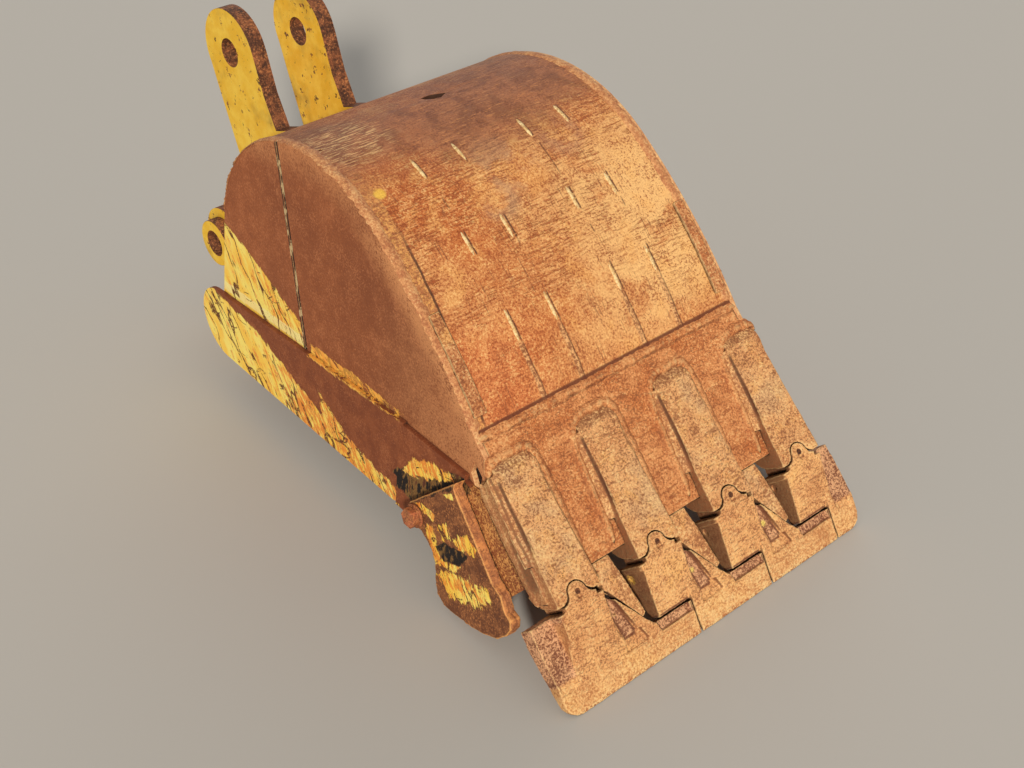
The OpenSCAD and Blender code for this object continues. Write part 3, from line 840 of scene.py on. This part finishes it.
def cast_done(f, colour):
    """Pale worn corners on cast steel, painted shade in its creases and gaps, and painted black shade
    below the lip's edge.
    """
    colour = f.blend(f.worn_edge(), colour, RUST_CREAM, 0.6)
    # Painted shade: black on the faces that look down the lip below its edge, above the tips.
    above_tips = f.step(f.along(LIP_TOP, LIP_DOWN), *TIPS_AT)
    undercut_shade = f.both(f.step(f.facing(LIP_DOWN), 0.35, 0.75), above_tips,
                      f.step(f.along(LIP_TOP, LIP_OUT), 0.016, 0.006))
    colour = f.blend(undercut_shade, colour, RUST_BLACK, 0.9)
    # Painted shade in creases and gaps.
    crease_shade = f.step(f.skin.outputs["Pointiness"], 0.480, 0.44)
    colour = f.blend(crease_shade, colour, RUST_BROWN, 0.7)
    colour = f.blend(f.crevice_shade(0.025, 0.52, 0.20), colour, RUST_BLACK, 0.92)
    return f.done(colour, 0.76, f.relief, depth=0.0030)


def lip_steel(name="lip_steel"):
    f, colour, _ = cast_steel(name, LIP_TONE, LIP_PATCHES, LIP_PIT, LIP_SPECK, size=235)
    return cast_done(f, colour)


def tooth_frame(f):
    """Each tooth's own place across, the distance from the first tooth, and u down the lip."""
    tooth = f.calc("SUBTRACT", f.x, TOOTH_X[0])
    local = f.calc("WRAP", tooth, TOOTH_PITCH / 2, -TOOTH_PITCH / 2)
    return local, tooth, f.along(LIP_TOP, LIP_DOWN)


def adapter_steel():
    f, colour, grain = cast_steel("adapter_steel", ADAPTER_TONE, ADAPTER_PATCHES)
    local, tooth, u = tooth_frame(f)
    flank = f.calc("ADD", local, f.scaled(u, FLANK_SPREAD, FLANK_X))
    # Painted shadow: a dark line along the upper edge of the left flank.
    upper = f.both(*(f.step(u, *end) for end in FLANK_SHADOW_LINE))
    colour = f.blend(f.both(f.line(flank, 0.0040, 0.0015), upper), colour, RUST_DARK, 0.85)
    first = f.both(f.step(tooth, 0.0, -0.01), *(f.step(u, *end) for end in RIDGES_RUN))
    winding = f.calc("ADD", flank, f.wander(0.010, 14, rough=0.6))
    ridges = f.either(*(f.line(f.calc("ADD", winding, out), 0.0034, 0.0010) for out in RIDGES_OUT))
    colour = f.blend(f.both(ridges, first), colour, RUST_DARK, 0.75)
    # Painted shade: darker brown speckle just below the weld rim at the adapter's head.
    head_shade = f.both(f.step(u, 0.082, 0.066), f.step(grain, 0.72, 0.60))
    colour = f.blend(head_shade, colour, RUST_BROWN, 0.7)
    beyond = f.both(f.step(flank, 0.0, -0.004), f.step(grain, 0.70, 0.58))
    colour = f.blend(f.both(beyond, f.step(u, 0.07, 0.08)), colour, ADAPTER_FLANK, 0.6)
    return cast_done(f, colour)


def tip_steel():
    f, colour, grain = cast_steel("tip_steel", TIP_TONE, TIP_PATCHES, TIP_PIT, size=235)
    local, tooth, u = tooth_frame(f)
    flanges = [f.step(f.within(outline, tooth, u), -0.003, 0.003) for outline in FLANGES]
    pad = f.within(TIP_PAD, local, u)
    pocket = f.within(TIP_POCKET, local, u)
    not_first = f.step(tooth, *PAST_FIRST)
    not_last = f.step(tooth, *BEFORE_LAST)
    low = f.either(*flanges, f.both(f.step(pad, -0.002, 0.002), not_first),
                   f.step(pocket, -0.002, 0.002))
    purple = f.blend(f.step(grain, 0.58, 0.68), TIP_PURPLE, TIP_PURPLE_SPECK)
    colour = f.blend(low, colour, purple, 0.85)
    # Painted shadow: dark lines along the steps round the pockets and pads.
    step_shadows = f.either(f.both(f.line(pocket, 0.0032, 0.0012), not_last),
                    f.both(f.line(pad, 0.0026, 0.0010), not_first))
    colour = f.blend(step_shadows, colour, TIP_STEP_SHADOW, 0.8)
    blade_tone = f.blend(f.step(grain, 0.54, 0.72), RUST_TAN, RUST_CREAM)
    colour = f.blend(f.step(u, *BLADE_FROM), colour, blade_tone, 0.45)
    front = f.step(u, *FRONT_FACE_FROM)
    colour = f.blend(f.both(front, f.step(grain, 0.50, 0.62)), colour, RUST_CREAM, 0.8)
    colour = f.blend(f.both(front, f.step(grain, 0.66, 0.58)), colour, RUST_RED, 0.85)
    specks = f.step(grain, 0.54, 0.64)
    for tooth_number, x, down, radius in TIP_FLECKS:
        place = on_lip(TOOTH_X[tooth_number] + x, down, FLECK_V)
        colour = f.blend(f.both(f.near(place, radius), specks), colour, PAINT_PALE, 0.9)
    colour = f.blend(f.both(f.near(PAINT_RING, PAINT_RING_R), specks), colour, PAINT_YELLOW, 0.8)
    return cast_done(f, colour)


def weld_steel(name, dark, light, amount):
    """Rough weld metal, paler than what it joins."""
    f = Finish(name)
    coarse = f.noise(90, detail=4, rough=0.7)
    colour = f.blend(f.step(coarse, 0.38, 0.64), dark, light)
    colour, grain = speckled(f, colour, RUST_BROWN, RUST_CREAM, 210, amount)
    return f.done(colour, 0.7, f.calc("ADD", grain, coarse), depth=0.0020)


def bolt_steel():
    f = Finish("dark_steel")
    blotch = f.noise(70, detail=5, rough=0.65)
    colour = f.blend(f.step(blotch, 0.4, 0.62), RUST_BROWN, BOLT_RED)
    colour, grain = speckled(f, colour, RUST_DARK, RUST_TAN, 240, 0.7)
    # Painted shade: black in the crevices of the bolts.
    colour = f.blend(f.crevice_shade(0.008, 0.7, 0.3), colour, RUST_BLACK, 0.9)
    return f.done(colour, 0.6, grain, depth=0.001)


def strip_steel():
    """The heel strips: like the shell, with painted shade along their sides."""
    f, colour, _ = cast_steel("strip_steel", HEEL_TONE, HEEL_PATCHES, HEEL_PIT)
    # Painted shade: dark on the side faces.
    colour = f.blend(f.sideways(0.25, 0.60), colour, RUST_DARK, 0.85)
    return cast_done(f, colour)


def lock_steel():
    f = Finish("lock_steel")
    colour, grain = speckled(f, LOCK_BROWN, RUST_BLACK, RUST_BROWN, 240, 0.7)
    return f.done(colour, 0.7, grain, depth=0.001)


# Corners closer than this are one corner before a modifier rounds them.
SAME_CORNER = 0.00002


def modify(node, name, kind, **settings):
    made = node.modifiers.new(name, kind)
    for key, value in settings.items():
        setattr(made, key, value)


def plate_edges(node, width):
    """Softened edges on a plate, without touching its mesh."""
    modify(node, "join_corners", "WELD", merge_threshold=SAME_CORNER)
    modify(node, "flat_faces", "DECIMATE", decimate_type="DISSOLVE", angle_limit=math.radians(0.4))
    modify(node, "worn_edges", "BEVEL", width=width, segments=3, limit_method="ANGLE",
           angle_limit=math.radians(28))


def lumps(name, size):
    made = bpy.data.textures.new(name, "CLOUDS")
    made.noise_scale = size
    made.noise_depth = 2
    return made


# Lumps in the skin of a casting, and how far each kind pushes it in and out.
CAST_LUMPS = ((lumps("broad_lumps", 0.030), 0.0016), (lumps("fine_lumps", 0.007), 0.0010))


def cast_form(node, voxel):
    """Rounded corners and a lumpy skin, as a worn casting has, without touching the mesh."""
    modify(node, "join_corners", "WELD", merge_threshold=SAME_CORNER)
    modify(node, "even_skin", "REMESH", mode="VOXEL", voxel_size=voxel, use_smooth_shade=True)
    modify(node, "worn_corners", "SMOOTH", factor=0.5, iterations=3)
    for texture, strength in CAST_LUMPS:
        modify(node, texture.name, "DISPLACE", texture=texture, texture_coords="LOCAL",
               strength=strength, mid_level=0.5)


BEAD_PACE = 6.0
BEAD_SIDES = 8
BEAD_SINK = 0.0008
# The corner welds: the side, and how far in from it they lie; and where they run along the shell.
CORNERS = (("left", -1, 0.011), ("right", 1, 0.016))
CORNER_RUN = (8, 1140)
# How fast a bead's width, height and path wobble, each with its own shift of the noise.
WIDTH_WOBBLE = (140, Vector((0, 0, 0)))
HEIGHT_WOBBLE = (190, Vector((5, 1, 3)))
PATH_WOBBLE = (60, Vector((9, 4, 2)))


def wobbling(place, kind):
    pace, shift = kind
    return noise.noise(place * pace + shift)


def lay_bead(verts, faces, path, outs, width, height, wobble, taper, power):
    """Adds a hump of weld along a path of places; outs says which way is up at each.

    A power of 1 makes it round, and a higher one runs its sides out softly.
    """
    run = [0.0]
    for here, ahead in zip(path, path[1:]):
        run.append(run[-1] + (ahead - here).length)
    first = len(verts)
    ring = BEAD_SIDES + 1
    for i, (place, out) in enumerate(zip(path, outs)):
        ahead = path[min(i + 1, len(path) - 1)] - path[max(i - 1, 0)]
        aside = ahead.cross(out).normalized()
        end = math.sqrt(max(min(1.0, min(run[i], run[-1] - run[i]) / taper), 0.02))
        half = width / 2 * end * (1 + wobble * wobbling(place, WIDTH_WOBBLE))
        rise = height * end * (1 + 1.5 * wobble * wobbling(place, HEIGHT_WOBBLE))
        centre = place + aside * (width * 0.3 * wobble * wobbling(place, PATH_WOBBLE))
        for k in range(ring):
            turn = math.pi * k / BEAD_SIDES
            lift = rise * math.sin(turn) ** power - BEAD_SINK
            verts.append(centre + aside * (half * math.cos(turn)) + out * lift)
    for i in range(len(path) - 1):
        low, high = first + i * ring, first + (i + 1) * ring
        for k in range(ring):
            after = (k + 1) % ring
            faces.append((low + k, high + k, high + after, low + after))
    faces.append(tuple(first + k for k in range(ring)))
    last = first + (len(path) - 1) * ring
    faces.append(tuple(last + k for k in reversed(range(ring))))


def add(name, data):
    made = bpy.data.objects.new(name, data)
    bpy.context.scene.collection.objects.link(made)
    return made


def bead_piece(name, beads, material, slot, **shape):
    """One piece made of beads of one shape, each given as its path and the ways out."""
    verts, faces = [], []
    for path, outs in beads:
        lay_bead(verts, faces, path, outs, **shape)
    mesh = bpy.data.meshes.new(name)
    mesh.from_pydata(verts, [], faces)
    for face in mesh.polygons:
        face.use_smooth = True
    mesh.materials.append(material)
    piece = add(name, mesh)
    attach(piece, "root")


def up_the_shell(x, start, end):
    """Places up the shell at one x, and the way out at each."""
    count = max(3, round((end - start) / BEAD_PACE))
    return zip(*(shell_place(x, start + (end - start) * i / count) for i in range(count + 1)))


def shell_dashes():
    """The short dashes of weld on the shell."""
    beads = [up_the_shell(*dash) for dash in DASHES]
    tone = weld_steel("cream_weld", DASH_TAN, WELD_CREAM, 0.5)
    bead_piece("shell_dashes", beads, tone, "shell_rust",
               width=0.0076, height=0.0034, wobble=0.3, taper=0.012, power=1)


def corner_welds():
    """Rough worn weld along the corner between the shell and each side plate."""
    tone = weld_steel("corner_weld", CORNER_BROWN, CORNER_PALE, 0.5)
    for name, side, inward in CORNERS:
        path, outs = up_the_shell(0, *CORNER_RUN)
        path = [p + Vector((side * (side_x(p) - inward), 0, 0)) for p in path]
        bead_piece("corner_weld_" + name, [(path, outs)], tone, "shell_rust",
                   width=0.025, height=0.0034, wobble=0.4, taper=0.012, power=2)


def seam_weld():
    """The weld between the shell and the lip, right across the bucket."""
    place, out = shell_place(0, 0)
    half = side_x(place) - 0.006
    steps = 130
    across = [half * (2 * i / steps - 1) for i in range(steps + 1)]
    path = [place + Vector((x, 0, 0)) + 0.005 * LIP_DOWN for x in across]
    up = (out + LIP_OUT).normalized()
    bead_piece("seam_weld", [(path, [up] * len(path))], lip_steel("seam_steel"), "shell_rust",
               width=0.022, height=0.0046, wobble=0.3, taper=0.01, power=3)


def lip_path(x, corners, steps=5):
    """Places down the lip through corners given across and down, in millimetres."""
    path = []
    for (x0, u0), (x1, u1) in zip(corners, corners[1:]):
        for k in range(steps):
            share = k / steps
            path.append(on_lip(x + (x0 + (x1 - x0) * share) / 1000, (u0 + (u1 - u0) * share) / 1000, 0))
    return path


def adapter_welds():
    """The weld round each adapter, run out softly over the lip."""
    tone = lip_steel("weld_rim")
    for number, (x, part) in enumerate(zip(TOOTH_X, WELD_PARTS), 1):
        path = lip_path(x, WELD_RIM[part])
        bead_piece("adapter_weld_%d" % number, [(path, [LIP_OUT] * len(path))], tone, "tooth_steel",
                   width=0.028, height=0.0068, wobble=0.2, taper=0.03, power=3)


# What each slot is made of, and the nodes that have a finish of their own.
FINISHES = {
    "shell_rust": shell_rust(),
    "side_rust": side_rust(),
    "edge_paint": edge_paint(),
    "ear_paint": ear_paint(),
    "tooth_steel": tip_steel(),
    "dark_steel": bolt_steel(),
}
OWN_FINISHES = {
    "lip": lip_steel(),
    "adapter": adapter_steel(),
    "side_cutter": cutter_paint(),
    "lock": lock_steel(),
    "heel_strip": strip_steel(),
}
# Castings, with the size of the voxels that round them, and how soft the plates' edges are.
CAST = {"tip": 0.0021, "adapter": 0.0021, "side_cutter": 0.0023, "lip": 0.0028, "heel_strip": 0.0022}
PLATE_EDGE = 0.002
SIDE_PLATE_EDGE = 0.006
SLOTS = {row["node"]: row["material_slot"] for row in frame["record"]["subparts"]}


def dress(name, node):
    """Gives a CAD node its material and its worn edges."""
    node.data.materials.clear()
    own = [key for key in OWN_FINISHES if name.startswith(key)]
    node.data.materials.append(OWN_FINISHES[own[0]] if own else FINISHES[SLOTS[name]])
    cast = [key for key in CAST if name.startswith(key)]
    if cast:
        cast_form(node, CAST[cast[0]])
    elif name.startswith("side_plate"):
        plate_edges(node, SIDE_PLATE_EDGE)
    else:
        plate_edges(node, PLATE_EDGE)


def ground():
    """A plain pale floor under the bucket."""
    floor_mat = bpy.data.materials.new("floor")
    floor_mat.use_nodes = True
    shader = floor_mat.node_tree.nodes["Principled BSDF"]
    shader.inputs["Base Color"].default_value = FLOOR_GREY
    shader.inputs["Roughness"].default_value = 0.9
    corners = [(x * FLOOR_HALF, y * FLOOR_HALF, 0) for x, y in ((-1, -1), (1, -1), (1, 1), (-1, 1))]
    mesh = bpy.data.meshes.new("floor")
    mesh.from_pydata(corners, [], [(0, 1, 2, 3)])
    mesh.materials.append(floor_mat)
    floor = add("floor", mesh)
    floor.location = (0, 0, cad_box[0].z)


def sun(name, energy, spread, direction, colour):
    """A soft far light; direction points from the bucket to it."""
    data = bpy.data.lights.new(name, "SUN")
    data.energy = energy
    data.angle = math.radians(spread)
    data.color = colour
    made = add(name, data)
    made.rotation_euler = Vector(direction).to_track_quat("Z", "Y").to_euler()


def lights():
    world = bpy.data.worlds.new("studio")
    world.use_nodes = True
    background = world.node_tree.nodes["Background"]
    background.inputs["Color"].default_value = (1, 1, 1, 1)
    background.inputs["Strength"].default_value = STUDIO_LIGHT
    bpy.context.scene.world = world
    sun("key", *KEY_LIGHT)
    sun("fill", *FILL_LIGHT)


def camera():
    data = bpy.data.cameras.new("camera")
    data.lens = CAMERA_LENS
    data.sensor_width = 36
    data.clip_end = 100
    made = add("camera", data)
    aim = (CAMERA_AIM - CAMERA_AT).to_track_quat("-Z", "Y").to_matrix()
    turned = aim @ Matrix.Rotation(CAMERA_ROLL, 3, "Z")
    made.matrix_world = Matrix.Translation(CAMERA_AT) @ turned.to_4x4()
    bpy.context.scene.camera = made


for name, node in nodes.items():
    dress(name, node)
shell_dashes()
corner_welds()
seam_weld()
adapter_welds()
ground()
lights()
camera()
bpy.context.scene.view_settings.view_transform = "Standard"
